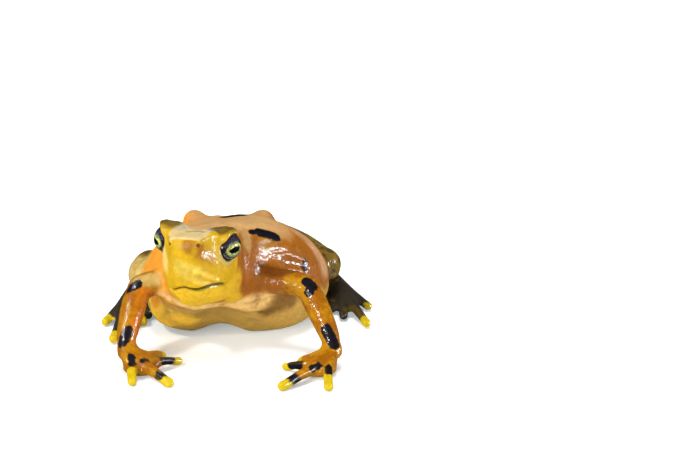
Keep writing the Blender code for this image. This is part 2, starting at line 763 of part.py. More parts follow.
def paint(obj, kind):
    material = bpy.data.materials.new(obj.name)
    material.use_nodes = True
    shader = material.node_tree.nodes["Principled BSDF"]
    shader.inputs["Base Color"].default_value = (*COLOURS[kind], 1.0)
    shader.inputs["Roughness"].default_value = 0.05 if kind == "eye" else 0.3
    shader.inputs["Metallic"].default_value = 0.0
    obj.data.materials.clear()
    obj.data.materials.append(material)


def finish(nodes):
    """Centre the frog over the origin, in metres, and colour each node."""
    corners = [read_points(obj.data) for obj in nodes.values()]
    low = np.min([c.min(0) for c in corners], axis=0)
    high = np.max([c.max(0) for c in corners], axis=0)
    shift = -(low + high) / 2
    shift[2] = 0.0
    for name, obj in nodes.items():
        obj.name = name
        write_points(obj.data, (read_points(obj.data) + shift) * MM)
        obj.data.shade_smooth()
        obj.data.set_sharp_from_angle(angle=math.radians(50))
        kind = name[:-2] if name[-2:] in ("_L", "_R") else name
        paint(obj, kind)


def main():
    clear_scene()
    nodes = build_front()
    nodes.update(build_legs())
    let_in(nodes)
    for name in ("torso", "shank_L", "shank_R", "foot_L", "foot_R"):
        largest_body(nodes[name])
    for side, sign in (("L", 1), ("R", -1)):
        nodes[f"eye_{side}"] = ball(f"eye_{side}", eye_centre(sign), EYE_RADIUS)
    finish(nodes)


main()
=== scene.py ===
# Golden frog, life-size display model: skin, eyes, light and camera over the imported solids
import math
import bmesh
import bpy
import numpy as np
from mathutils import Matrix, Vector
from mathutils.bvhtree import BVHTree
from mathutils.kdtree import KDTree


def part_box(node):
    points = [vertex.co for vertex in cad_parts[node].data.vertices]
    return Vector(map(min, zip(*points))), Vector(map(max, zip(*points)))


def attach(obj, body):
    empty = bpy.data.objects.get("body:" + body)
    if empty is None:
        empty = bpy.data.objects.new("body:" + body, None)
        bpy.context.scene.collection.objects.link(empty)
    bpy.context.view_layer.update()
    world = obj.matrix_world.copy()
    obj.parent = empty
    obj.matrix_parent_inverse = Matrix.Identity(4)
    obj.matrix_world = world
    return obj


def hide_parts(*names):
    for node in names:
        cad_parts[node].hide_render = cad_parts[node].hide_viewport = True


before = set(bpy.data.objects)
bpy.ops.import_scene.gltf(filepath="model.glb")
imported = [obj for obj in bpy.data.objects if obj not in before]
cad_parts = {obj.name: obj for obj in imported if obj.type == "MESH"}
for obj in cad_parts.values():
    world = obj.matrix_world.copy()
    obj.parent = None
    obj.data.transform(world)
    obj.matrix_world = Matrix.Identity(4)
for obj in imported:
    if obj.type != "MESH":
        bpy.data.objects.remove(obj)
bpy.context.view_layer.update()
print("frame loaded:", len(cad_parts), "solids")

# Shapes are worked in millimetres, placed from the middle of the eyes, and set in the frame last
headPlace = {
    "middle": (-2.85, -19.2, 22.9),
    "eyesFromMiddle": (0, 0.285, 0.1),  # forward, left and up
    "turned": 12.0,
    "raised": 6.0,
}
toMillimetres, toMetres = 1000, 0.001
fleshNames = sorted(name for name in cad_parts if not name.startswith("eye"))


def eyeSpot(side):
    low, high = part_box("eye_" + side)
    return np.array((low + high) / 2) * toMillimetres


def headAxes():
    turn, lift = math.radians(headPlace["turned"]), math.radians(headPlace["raised"])
    level = math.cos(lift)
    forward = Vector((-math.sin(turn) * level, -math.cos(turn) * level, math.sin(lift)))
    left = Vector((math.cos(turn), -math.sin(turn), 0.0))
    return np.array([forward, left, left.cross(-forward)])


headTurn = headAxes()


def onHead(forward, left, up):
    return np.array(headPlace["middle"]) + np.array([forward, left, up]) @ headTurn


shift = (eyeSpot("L") + eyeSpot("R")) / 2 - onHead(*headPlace["eyesFromMiddle"])
eyeBalls = {side: eyeSpot(side) - shift for side in "LR"}
signs = {"L": 1, "R": -1}
eyeSize = (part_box("eye_L")[1].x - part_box("eye_L")[0].x) / 2 * toMillimetres


def inHead(points):
    return (points - np.array(headPlace["middle"])) @ headTurn.T


def outwards(turn, lift, sign):  # from the head's middle line to one side
    turn, lift = math.radians(turn), math.radians(lift)
    level = math.cos(lift)
    local = (math.cos(turn) * level, sign * math.sin(turn) * level, math.sin(lift))
    return np.array(local) @ headTurn


# Mesh helpers

def readPoints(mesh):
    points = np.empty(len(mesh.vertices) * 3)
    mesh.vertices.foreach_get("co", points)
    return points.reshape(-1, 3)


def readNormals(mesh):
    normals = np.empty(len(mesh.vertices) * 3)
    mesh.vertex_normals.foreach_get("vector", normals)
    return normals.reshape(-1, 3)


def putPoints(mesh, points):
    mesh.vertices.foreach_set("co", points.ravel())
    mesh.update()


def neighbours(mesh):
    ends = np.empty(len(mesh.edges) * 2, int)
    mesh.edges.foreach_get("vertices", ends)
    ends = ends.reshape(-1, 2)
    here = np.concatenate([ends[:, 0], ends[:, 1]])
    there = np.concatenate([ends[:, 1], ends[:, 0]])
    count = np.bincount(here, minlength=len(mesh.vertices))
    return here, there, 1.0 / np.maximum(count, 1)


def average(values, links):
    here, there, share = links
    columns = values.reshape(len(values), -1)
    mean = [np.bincount(here, column[there], len(values)) * share for column in columns.T]
    return np.array(mean).T.reshape(values.shape)


def relax(mesh, weight, rounds, give=0.0, step=0.5):
    links = neighbours(mesh)
    points = readPoints(mesh)
    weight = np.broadcast_to(weight, len(points))[:, None]
    for _ in range(rounds):
        points = points + step * weight * (average(points, links) - points)
        if give:  # swells back what smoothing shrinks
            points = points - give * weight * (average(points, links) - points)
    putPoints(mesh, points)


def smoothStep(values, low, high):
    t = np.clip((values - low) / (high - low), 0.0, 1.0)
    return t * t * (3 - 2 * t)


def bump(distance, width):
    return np.clip(1.0 - (distance / width) ** 2, 0.0, 1.0) ** 2


def farFrom(points, place):
    return np.linalg.norm(points - place, axis=1)


def lineDistance(points, line):
    line = [np.asarray(p, float) for p in line]
    best = np.full(len(points), np.inf)
    for start, end in zip(line[:-1], line[1:]):
        step = end - start
        t = np.clip((points - start) @ step / (step @ step), 0.0, 1.0)
        best = np.minimum(best, farFrom(points, start + t[:, None] * step))
    return best


def curve(line, count=24):
    rows = np.asarray(line, float)
    padded = np.vstack([2 * rows[0] - rows[1], rows, 2 * rows[-1] - rows[-2]])
    places = np.linspace(0, len(rows) - 1, count)
    cell = np.minimum(places.astype(int), len(rows) - 2)
    t = (places - cell)[:, None]
    a, b, c, d = (padded[cell + k] for k in range(4))
    square, cube = 2 * a - 5 * b + 4 * c - d, 3 * b - a - 3 * c + d
    return 0.5 * (2 * b + (c - a) * t + square * t**2 + cube * t**3)


def storeValue(mesh, name, values):
    layer = mesh.attributes.new(name, "FLOAT", "POINT")
    layer.data.foreach_set("value", np.asarray(values, np.float32))


def addObject(name, data):
    made = bpy.data.objects.new(name, data)
    bpy.context.scene.collection.objects.link(made)
    return made


def setInFrame(obj):
    putPoints(obj.data, (readPoints(obj.data) + shift) * toMetres)
    obj.data.shade_smooth()
    return obj


# Skin

skinShape = {
    "weld": 0.001,
    "cell": 0.345,  # spacing of the skin's mesh
    "swell": 0.3,  # closes the thin gaps between the solids
    "calmRounds": 18,
    "calmGive": 0.53,
    "seamWeight": 2.4,
    "seamRounds": 34,
    "blendRounds": 10,  # how softly the body's parts give way to each other
    "fineCalm": (4, 0.5),  # rounds and give, where the mesh was made finer
    "lastCalm": (2, 0.5),
    "fineNear": 1.5,  # how far round the mouth and eyes the mesh is made finer
    "fineNostril": 1.8,
    "fineFrom": -2.5,  # forward and side places that bound the finer mouth
    "fineSide": 9,
    "lidTouch": 0.03,
    "lidClose": 0.34,
}

mouth = {
    "pivot": -6.0,  # forward place the line's degrees are counted round
    "ahead": 0.1,  # least distance in front of it
    "steps": 120,
    "line": [(-50, -8.0), (-30, -7.85), (-14, -7.55), (-10, -7.27), (-7, -7.02), (-2, -6.74), (2.5, -6.9),
             (7, -7.03), (12, -6.9), (17, -6.67), (22, -6.56), (28, -6.6), (34, -6.8), (50, -7.5)],
    "crease": (-2.0, -0.6),  # forward places where the crease starts and is full
    "dark": (-1.2, 0.2),
    "farSide": (2.2, 3.6),  # on the frog's right the line thins to a crease
    "farSideLoss": 0.5,
    "width": 0.18,
    "depth": 0.42,
    "lips": 0.1,
    "lipAway": 0.55,
    "lipWidth": 0.3,
    "level": (1.6, 1.5),  # the crease fades where the skin faces up or down
}

nostril = {
    "place": (7.7, 2.5, 1.4),
    "size": 0.546,
    "flat": 1.25,
    "depth": 0.5,
    "rim": 0.1,
    "rimAway": 0.6,
    "rimWidth": 0.45,
}

lids = {
    "turn": 68.0,
    "lift": 6.0,
    "opening": 2.38,
    "front": (-1.2, 0.4),
    "roll": 0.14,
    "rollAway": 0.4,
    "rollWidth": 0.55,
    "crease": 0.1,
    "creaseAway": 1.15,
    "creaseWidth": 0.4,
}


def nostrilSpot(sign):
    forward, out, up = nostril["place"]
    return onHead(forward, sign * out, up)


def fleshMesh():
    points, faces, owners = [], [], []
    for index, name in enumerate(fleshNames):
        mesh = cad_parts[name].data
        start = sum(len(p) for p in points)
        points.append(readPoints(mesh) * toMillimetres - shift)
        owners.append(np.full(len(mesh.vertices), index))
        faces += [[v + start for v in polygon.vertices] for polygon in mesh.polygons]
    joined = bpy.data.meshes.new("skin")
    joined.from_pydata(np.vstack(points).tolist(), [], faces)
    work = bmesh.new()
    work.from_mesh(joined)
    bmesh.ops.remove_doubles(work, verts=work.verts, dist=skinShape["weld"])
    work.to_mesh(joined)
    work.free()
    return joined, np.vstack(points), np.concatenate(owners)


def remeshed(obj, cell):
    change = obj.modifiers.new("skin", "REMESH")
    change.mode = "VOXEL"
    change.voxel_size = cell
    graph = bpy.context.evaluated_depsgraph_get()
    mesh = bpy.data.meshes.new_from_object(obj.evaluated_get(graph))
    obj.modifiers.clear()
    old = obj.data
    obj.data = mesh
    bpy.data.meshes.remove(old)


def membership(points, places, owners, links):
    tree = KDTree(len(places))
    for index, place in enumerate(places):
        tree.insert(place, index)
    tree.balance()
    nearest = np.array([owners[tree.find(p)[1]] for p in points])
    share = np.zeros((len(points), len(fleshNames)))
    share[np.arange(len(points)), nearest] = 1.0
    for _ in range(skinShape["blendRounds"]):
        share = average(share, links)
    return share


def aboveMouth(local):
    ahead = np.maximum(local[:, 0] - mouth["pivot"], mouth["ahead"])
    line = curve(mouth["line"], mouth["steps"])
    around = np.degrees(np.arctan2(local[:, 1], ahead))
    return local[:, 2] - np.interp(around, line[:, 0], line[:, 1])


def refine(mesh, wanted):
    work = bmesh.new()
    work.from_mesh(mesh)
    work.verts.ensure_lookup_table()
    edges = {e for f in work.faces if any(wanted[v.index] for v in f.verts) for e in f.edges}
    bmesh.ops.subdivide_edges(work, edges=list(edges), cuts=1, use_grid_fill=True)
    bmesh.ops.triangulate(work, faces=[f for f in work.faces if len(f.verts) > 4])
    work.to_mesh(mesh)
    work.free()


def faceDetail(points):
    local = inHead(points)
    near = np.abs(aboveMouth(local)) < skinShape["fineNear"]
    near &= (local[:, 0] > skinShape["fineFrom"]) & (np.abs(local[:, 1]) < skinShape["fineSide"])
    for side, spot in eyeBalls.items():
        near |= farFrom(points, spot) < eyeSize + skinShape["fineNear"]
        near |= farFrom(points, nostrilSpot(signs[side])) < skinShape["fineNostril"]
    return near


def clearOfEyes(points):
    least = eyeSize + skinShape["lidTouch"]
    for spot in eyeBalls.values():
        away = points - spot
        far = np.linalg.norm(away, axis=1)
        close = far < least + skinShape["lidClose"]
        points[close] = spot + away[close] / far[close, None] * least
    return points


def mouthLift(local, steep):
    above = aboveMouth(local)
    reach = smoothStep(local[:, 0], *mouth["crease"])
    reach = reach * (1 - mouth["farSideLoss"] * smoothStep(-local[:, 1], *mouth["farSide"]))
    most, loss = mouth["level"]
    reach = reach * np.clip(most - steep * loss, 0, 1)
    lip = np.exp(-(((np.abs(above) - mouth["lipAway"]) / mouth["lipWidth"]) ** 2))
    slit = np.exp(-((above / mouth["width"]) ** 2))
    return reach * (mouth["lips"] * lip - mouth["depth"] * slit)


def nostrilLift(away):
    far = np.linalg.norm(away * (1.0, 1.0, nostril["flat"]), axis=1)
    rim = nostril["rim"] * bump(far - nostril["rimAway"], nostril["rimWidth"])
    return rim - nostril["depth"] * bump(far, nostril["size"])


def lidLift(away, axis):
    along = away @ axis
    out = np.linalg.norm(away - along[:, None] * axis, axis=1) - lids["opening"]
    roll = lids["roll"] * bump(out - lids["rollAway"], lids["rollWidth"])
    crease = lids["crease"] * bump(out - lids["creaseAway"], lids["creaseWidth"])
    return smoothStep(along, *lids["front"]) * (roll - crease)


def shapeFace(mesh):
    points, normals = readPoints(mesh), readNormals(mesh)
    lift = mouthLift(inHead(points), np.abs(normals @ headTurn[2]))
    for side, spot in eyeBalls.items():
        lift += nostrilLift(points - nostrilSpot(signs[side]))
        lift += lidLift(points - spot, outwards(lids["turn"], lids["lift"], signs[side]))
    putPoints(mesh, points + normals * lift[:, None])


# Soft folds and joints: line, half width, lift
folds = [
    ([(-7.0, -13.4, 10.6), (-4.0, -15.8, 9.8), (0.0, -16.2, 9.4), (4.0, -13.6, 8.6), (8.6, -9.8, 8.0)],
     1.0, -0.22),
    ([(-8.4, -10.6, 8.2), (-4.0, -12.8, 7.4), (1.0, -12.8, 6.6), (6.5, -9.6, 5.8), (11.0, -7.6, 5.6)],
     0.9, -0.2),
    ([(-7.6, -9.0, 5.6), (-3.0, -10.6, 5.0), (3.0, -10.0, 4.4), (8.0, -8.2, 3.6)], 0.8, -0.14),
    ([(-12.9, -5.6, 8.0), (-12.0, -6.6, 6.0), (-10.4, -7.4, 4.2), (-8.6, -7.0, 2.4)], 0.7, -0.2),
    ([(6.6, -10.2, 15.6), (9.4, -9.4, 15.2), (12.6, -9.0, 14.6), (15.0, -7.8, 13.8)], 0.9, -0.3),
    ([(-8.4, -10.2, 15.6), (-10.8, -10.2, 15.2), (-12.6, -9.2, 14.6)], 0.9, -0.25),
    ([(5.4, -13.8, 20.0), (5.8, -14.2, 16.0), (5.4, -14.4, 12.0)], 1.0, -0.22),
    ([(-8.6, -14.6, 20.0), (-8.4, -15.2, 16.0), (-7.6, -15.2, 12.4)], 1.0, -0.18),
    ([(7.4, -10.0, 19.4), (10.8, -5.0, 18.0), (13.4, 0.0, 16.4), (14.6, 5.0, 14.6)], 0.8, -0.12),
    ([(9.4, -8.6, 17.4), (13.2, -4.0, 16.0), (15.6, 1.0, 14.2), (16.4, 6.0, 12.4)], 0.8, -0.12),
    ([(-9.6, -9.4, 18.2), (-12.0, -4.0, 16.6), (-13.0, 2.0, 14.8), (-12.6, 7.0, 13.4)], 0.8, -0.12),
    ([(-1.3, -26.1, 20.2), (0.2, -24.8, 18.8), (1.8, -22.8, 17.0)], 0.6, -0.13),
    ([(-2.5, -26.5, 19.2), (-0.8, -25.5, 18.0), (1.0, -23.8, 17.0)], 0.6, -0.1),
    ([(1.2, -10.0, 24.0), (1.2, -2.0, 22.2), (1.25, 6.0, 20.2), (1.25, 13.0, 17.6)], 1.2, -0.12),
]

# Black marks: lines on the skin and their half width; two numbers are set down on the back from above
marks = [
    ([(16.5, -12.6, 13.1), (17.7, -13.0, 12.4)], 1.0),
    ([(17.2, -13.5, 12.2), (17.0, -14.0, 11.5)], 0.95),
    ([(-15.1, -14.4, 12.2), (-13.9, -14.2, 13.2)], 0.85),
    ([(20.1, -20.2, 6.7), (20.8, -21.3, 5.8), (21.6, -22.4, 4.9)], 1.15),
    ([(-15.1, -21.1, 6.9), (-15.7, -21.9, 6.1), (-16.3, -22.6, 5.3)], 1.05),
    ([(14.1, -24.0, 1.6), (15.4, -24.8, 1.9)], 0.95),
    ([(17.7, -28.0, 2.5), (18.7, -27.2, 2.6)], 0.72),
    ([(13.9, -30.8, 1.3), (14.7, -30.0, 1.4)], 1.0),
    ([(20.6, -27.7, 2.6), (20.7, -29.2, 2.2)], 0.85),
    ([(-14.4, -25.0, 3.5), (-14.2, -26.4, 2.8)], 0.72),
    ([(-12.3, -25.8, 3.1), (-11.5, -25.0, 2.8)], 0.55),
    ([(-9.3, -28.7, 1.5), (-8.5, -29.5, 1.4)], 0.92),
    ([(-9.0, -22.6, 1.9), (-7.8, -21.6, 1.6)], 0.95),
    ([(-10.8, -19.6, 1.3), (-10.4, -19.0, 1.2)], 0.75),
    ([(16.7, -21.6, 1.5), (16.2, -21.3, 1.3)], 0.75),
    ([(6.3, -7.9, 21.0), (7.6, -6.7, 20.6)], 0.6),
    ([(7.8, -6.5, 20.4), (9.2, -5.5, 20.0), (10.8, -4.7, 19.1)], 1.1),
    ([(1.4, 2.6), (3.4, 4.8), (4.0, 7.2)], 1.35),
    ([(-2.6, 16.4), (-4.4, 19.0)], 1.3),
    ([(5.4, 17.4), (4.2, 20.4)], 1.1),
    ([(-10.4, 4.6), (-11.8, 7.6)], 1.0),
    ([(11.6, 7.6), (12.6, 9.8)], 1.0),
]
redMark = ([(16.1, -2.8, 13.2), (16.0, -3.2, 12.4)], 0.85)
tips = [  # ends of the fingers and toes, and how far their yellow reaches
    (15.6, -20.9, 0.9, 1.3), (12.9, -22.9, 0.8, 1.5), (12.5, -32.2, 0.9, 2.3), (20.6, -32.5, 0.9, 3.2),
    (-9.6, -17.9, 0.9, 1.3), (-6.4, -20.2, 0.8, 1.5), (-7.4, -30.6, 0.9, 2.3), (-13.9, -29.9, 0.9, 3.0),
    (27.5, -2.2, 1.0, 1.9), (27.9, 7.1, 0.9, 0.9),
    (-14.4, -1.0, 0.9, 1.6), (-15.8, -5.1, 0.9, 1.9), (-19.2, -10.1, 1.0, 2.3), (-21.5, -1.1, 0.9, 1.9),
]

# Touches of paint: colour, strength, half width, lines on the skin
touches = [
    ("tan", 0.8, 2.0, [[(5.7, -9.6, 20.9), (5.8, -11.4, 19.5)]]),
    # pale: painted sheen, a paler band along the rim of the frog's left flank
    ("pale", 0.7, 3.0, [[(15.2, 3.6, 17.2), (17.2, 3.2, 14.8), (18.8, 2.8, 12.0), (19.2, 2.6, 9.6)]]),
    ("armYellow", 0.7, 1.8, [[(8.4, -8.0, 18.8), (10.1, -6.9, 18.0)]]),
    # the neck behind the left cheek: its darker tone and painted shade
    ("neck", 0.9, 2.6, [[(5.6, -13.8, 13.0), (5.7, -13.2, 11.4), (6.8, -11.8, 10.4)]]),
    # painted shade in the hollow under the frog's left arm
    ("hollowShade", 0.9, 3.0, [[(9.3, -8.4, 6.1), (11.0, -7.9, 6.9), (13.0, -6.8, 7.3)]]),
    ("shadow", 0.85, 2.4, [[(8.0, -11.2, 14.8), (10.8, -10.8, 14.8), (13.8, -9.8, 14.3)]]),
    # painted light: the frog's right belly lobe is painted much lighter than the belly
    ("litLobe", 0.9, 5.0, [[(-11.6, -6.4, 5.0), (-9.4, -7.6, 4.0), (-6.4, -9.4, 3.4)]]),
    ("throat", 0.95, 3.6, [[(-8.6, -13.6, 9.8), (-5.0, -15.0, 8.8), (0.0, -15.4, 8.2), (5.0, -12.8, 7.8),
                            (9.0, -10.4, 8.4)]]),
    ("jaw", 0.95, 3.0, [[(4.4, -17.0, 15.4), (3.8, -17.0, 13.6), (3.2, -16.6, 12.0), (3.6, -15.2, 10.8)]]),
    ("armPale", 0.85, 2.3, [[(-14.4, -13.7, 13.7), (-12.4, -13.5, 14.1), (-10.4, -12.9, 14.1)]]),
    # mist: painted reflection, a grey-blue sheen over the dark marks on the head top
    ("mist", 0.5, 1.1, [[(-5.6, -20.6, 25.8), (-4.7, -19.2, 25.8), (-3.4, -18.6, 25.7)],
                        [(-2.6, -20.6, 25.7), (-1.2, -19.6, 25.6), (0.2, -20.8, 25.5)]]),
    ("pit", 0.7, 0.6, [[(-4.2, -22.2, 25.9), (-2.7, -21.4, 25.7), (-1.3, -22.4, 25.9)]]),
    ("snout", 0.6, 2.6, [[(-1.6, -26.2, 23.2), (-0.2, -25.2, 22.2)]]),
    ("ridge", 0.7, 0.8, [[(-2.6, -26.6, 20.2), (-0.4, -25.4, 18.9), (1.4, -23.6, 17.6)],
                         [(-4.2, -26.9, 18.8), (-2.0, -26.3, 17.9), (0.0, -25.2, 17.2)]]),
]

# Where the other colours lie: centres, lines and ranges; those of the face are forward, left and up
zones = {
    "headEdge": (-4.0, -2.7),
    "bellyHeight": (10.5, 6.0),
    "bellyTilt": (0.25, -0.25),
    "flankTilt": (1.0, 0.45),
    "flankHeight": (20.5, 15.0),
    "flankSide": 14.0,
    "knee": ((-15.6, 8.4, 8.0), 9.0),
    "toe": ([(25.6, 0.6, 1.4), (24.4, 3.4, 1.6)], 2.0),
    "brow": ((-0.2, 5.0, 2.6), 4.0),
    "browTilt": (-0.5, 0.2),
    "lowerLid": (-0.2, -1.8),
    "mouthWide": (-1.5, 3.0),
    "mouthOnHead": (0.4, 0.8),
    "farMouth": 0.8,
    "pit": 0.62,
    "snout": [(0.75, (8.0, 1.2, 1.2), 2.8), (0.9, (7.2, 3.2, 0.2), 2.8)],
    "lips": [[(8.0, -1.8, -2.0), (7.2, 0.6, -2.8), (6.4, 3.2, -3.8), (4.6, 5.4, -5.2)],
             [(7.6, -2.4, -3.4), (7.0, 0.0, -4.4), (6.0, 2.6, -5.2)]],
    "lipWidth": 1.5,
    "cheekSide": (2.6, 4.8),
    "cheekHeight": (-2.6, 3.4),
    "jawHeight": (1.4, -0.8),
    "crownTilt": (0.55, 0.85),
    "crownSide": (4.4, 2.6),
    # neck line: darker tone and painted shade behind the cheek
    "neck": ([(6.2, -13.4, 21.0), (6.8, -13.0, 17.0), (6.6, -12.6, 13.0), (5.4, -12.4, 10.4)], 5.2),
    "red": [[(-13.2, -14.6, 11.4), (-12.4, -13.6, 10.6), (-12.0, -10.0, 9.0), (-12.4, -6.4, 7.0)],
            [(-12.6, -15.4, 11.0), (-13.0, -18.0, 8.6), (-14.0, -21.0, 6.0)]],
    "redWidth": 3.0,
    "foldWidth": 1.1,
    "foldDepth": 0.3,
}
farAway = 9.0  # stands for any distance past which nothing is painted
wellAbove = 60.0  # height from which the back's marks are set down


def setDown(line, tree):
    if len(line[0]) == 3:
        return line
    return [tree.ray_cast(Vector((x, y, wellAbove)), Vector((0, 0, -1)))[0] for x, y in line]


def stroke(points, line, width):
    return bump(lineDistance(points, curve(line)), width)


def storeHead(mesh, points, up, onHeadShare):
    local = inHead(points)
    brow = np.zeros(len(points))
    lidEdge = np.full(len(points), farAway)
    nostrils = np.full(len(points), farAway)
    (forward, out, high), browWidth = zones["brow"]
    for side, spot in eyeBalls.items():
        browSpot = onHead(forward, signs[side] * out, high)
        brow = np.maximum(brow, bump(farFrom(points, browSpot), browWidth))
        lidEdge = np.minimum(lidEdge, farFrom(points, spot) - eyeSize)
        nostrils = np.minimum(nostrils, farFrom(points, nostrilSpot(signs[side])))
    storeValue(mesh, "browZone", brow * smoothStep(up, *zones["browTilt"]))
    storeValue(mesh, "lidEdge", lidEdge)
    storeValue(mesh, "lowerLid", smoothStep(local[:, 2], *zones["lowerLid"]))
    # painted shade inside the nostrils
    storeValue(mesh, "nostrilShade", bump(nostrils, zones["pit"]))
    above = aboveMouth(local)
    reach = smoothStep(local[:, 0], *mouth["dark"])
    reach = reach * (1 - zones["farMouth"] * smoothStep(-local[:, 1], *mouth["farSide"]))
    storeValue(mesh, "mouthAbove", np.clip(above, -2, 2))
    storeValue(mesh, "mouthReach", reach * smoothStep(onHeadShare, *zones["mouthOnHead"]))
    storeValue(mesh, "mouthWide", smoothStep(local[:, 1], *zones["mouthWide"]))
    warm = [share * bump(farFrom(points, onHead(*place)), width) for share, place, width in zones["snout"]]
    storeValue(mesh, "snoutWarm", np.max(warm, axis=0))
    lips = [stroke(points, [onHead(*place) for place in line], zones["lipWidth"]) for line in zones["lips"]]
    storeValue(mesh, "lipPale", np.max(lips, axis=0))
    middle, width = zones["cheekHeight"]
    cheek = smoothStep(-local[:, 1], *zones["cheekSide"]) * bump(local[:, 2] - middle, width)
    storeValue(mesh, "cheekPale", cheek)
    storeValue(mesh, "jawZone", smoothStep(above, *zones["jawHeight"]))
    # painted reflection: the up-facing middle of the head top is painted paler, as a sheen
    crownSheen = smoothStep(up, *zones["crownTilt"]) * smoothStep(np.abs(local[:, 1]), *zones["crownSide"])
    storeValue(mesh, "crownSheenZone", crownSheen)


def storeBody(mesh, points, up, part):
    both = lambda kind: part[kind + "_L"] + part[kind + "_R"]
    arms = both("upper_arm") + both("forearm") + both("hand")
    storeValue(mesh, "armZone", np.clip(arms, 0, 1))
    storeValue(mesh, "legZone", np.clip(both("thigh") + both("shank") + both("foot"), 0, 1))
    storeValue(mesh, "footZone", both("foot"))
    place, width = zones["knee"]
    knee = bump(farFrom(points, place), width)
    storeValue(mesh, "kneePale", knee * (part["thigh_R"] + part["shank_R"]))
    line, width = zones["toe"]
    storeValue(mesh, "toeOlive", bump(lineDistance(points, line), width))
    low = smoothStep(points[:, 2], *zones["bellyHeight"]) * smoothStep(up, *zones["bellyTilt"])
    storeValue(mesh, "bellyZone", low * (1 - arms))
    steep = smoothStep(np.abs(up), *zones["flankTilt"])
    storeValue(mesh, "flankZone", np.maximum(steep, smoothStep(points[:, 2], *zones["flankHeight"])))
    # painted light and shade: 0 on the frog's right side and 1 on its left, mixing the lit and shaded flank
    # colours
    side = np.clip(points[:, 0] / zones["flankSide"], -1, 1)
    storeValue(mesh, "shadedSideZone", 0.5 + 0.5 * side)


def storeZones(mesh, share):
    points, up = readPoints(mesh), readNormals(mesh)[:, 2]
    part = {name: share[:, k] for k, name in enumerate(fleshNames)}
    head = part["head"] * smoothStep(inHead(points)[:, 0], *zones["headEdge"])
    storeValue(mesh, "headZone", head)
    storeHead(mesh, points, up, part["head"])
    storeBody(mesh, points, up, part)
    # neck darker behind the cheek: partly its own tone, partly painted shade
    storeValue(mesh, "neckZone", stroke(points, *zones["neck"]) * (1 - head))
    for index, (_, _, width, lines) in enumerate(touches):
        near = np.max([stroke(points, line, width) for line in lines], axis=0)
        storeValue(mesh, "touch%d" % index, near)
    red = np.max([stroke(points, line, zones["redWidth"]) for line in zones["red"]], axis=0)
    storeValue(mesh, "redZone", red)
    # painted shade: the skin is painted darker along the folds
    deep = [stroke(points, line, zones["foldWidth"] * width) * -lift for line, width, lift in folds]
    storeValue(mesh, "foldShadeZone", np.max(deep, axis=0) / zones["foldDepth"])
    storeValue(mesh, "tipZone", np.min([farFrom(points, tip[:3]) - tip[3] for tip in tips], axis=0))
    tree = BVHTree.FromPolygons([tuple(p) for p in points], [tuple(p.vertices) for p in mesh.polygons])
    edge = np.min([lineDistance(points, setDown(line, tree)) - size for line, size in marks], axis=0)
    storeValue(mesh, "markEdge", np.clip(edge, -3, 3))
    line, size = redMark
    storeValue(mesh, "redMark", np.clip(lineDistance(points, line) - size, -3, 3))


def makeSkin():
    mesh, places, owners = fleshMesh()
    skin = addObject("skin", mesh)
    putPoints(mesh, readPoints(mesh) + readNormals(mesh) * skinShape["swell"])
    remeshed(skin, skinShape["cell"])
    mesh = skin.data
    putPoints(mesh, readPoints(mesh) - readNormals(mesh) * skinShape["swell"])
    relax(mesh, 1.0, skinShape["calmRounds"], skinShape["calmGive"])
    share = membership(readPoints(mesh), places, owners, neighbours(mesh))
    seam = np.clip((1.0 - (share**2).sum(1)) * skinShape["seamWeight"], 0, 1)
    relax(mesh, seam, skinShape["seamRounds"])
    points, normals = readPoints(mesh), readNormals(mesh)
    lift = sum(height * stroke(points, line, width) for line, width, height in folds)
    putPoints(mesh, points + normals * lift[:, None])
    refine(mesh, faceDetail(readPoints(mesh)))
    relax(mesh, faceDetail(readPoints(mesh)).astype(float), *skinShape["fineCalm"])
    shapeFace(mesh)
    relax(mesh, 1.0, *skinShape["lastCalm"])
    points = clearOfEyes(readPoints(mesh))
    points[:, 2] = np.maximum(points[:, 2], 0.0)
    putPoints(mesh, points)
    share = membership(readPoints(mesh), places, owners, neighbours(mesh))
    storeZones(mesh, share)
    setInFrame(skin)
    print("skin made:", sum(len(p.vertices) - 2 for p in skin.data.polygons), "triangles")
    return skin


# Eyes

eyeLook = {
    "turn": 52.0,
    "lift": -4.0,
    "tilt": 10.0,
    "cornea": 0.12,
    "corneaWidth": 0.95,
    "inside": 0.01,
    "rings": 56,
    "sides": 72,
    "pupilLong": 1.15,
    "pupilHigh": 0.52,
    "iris": 1.55,
}


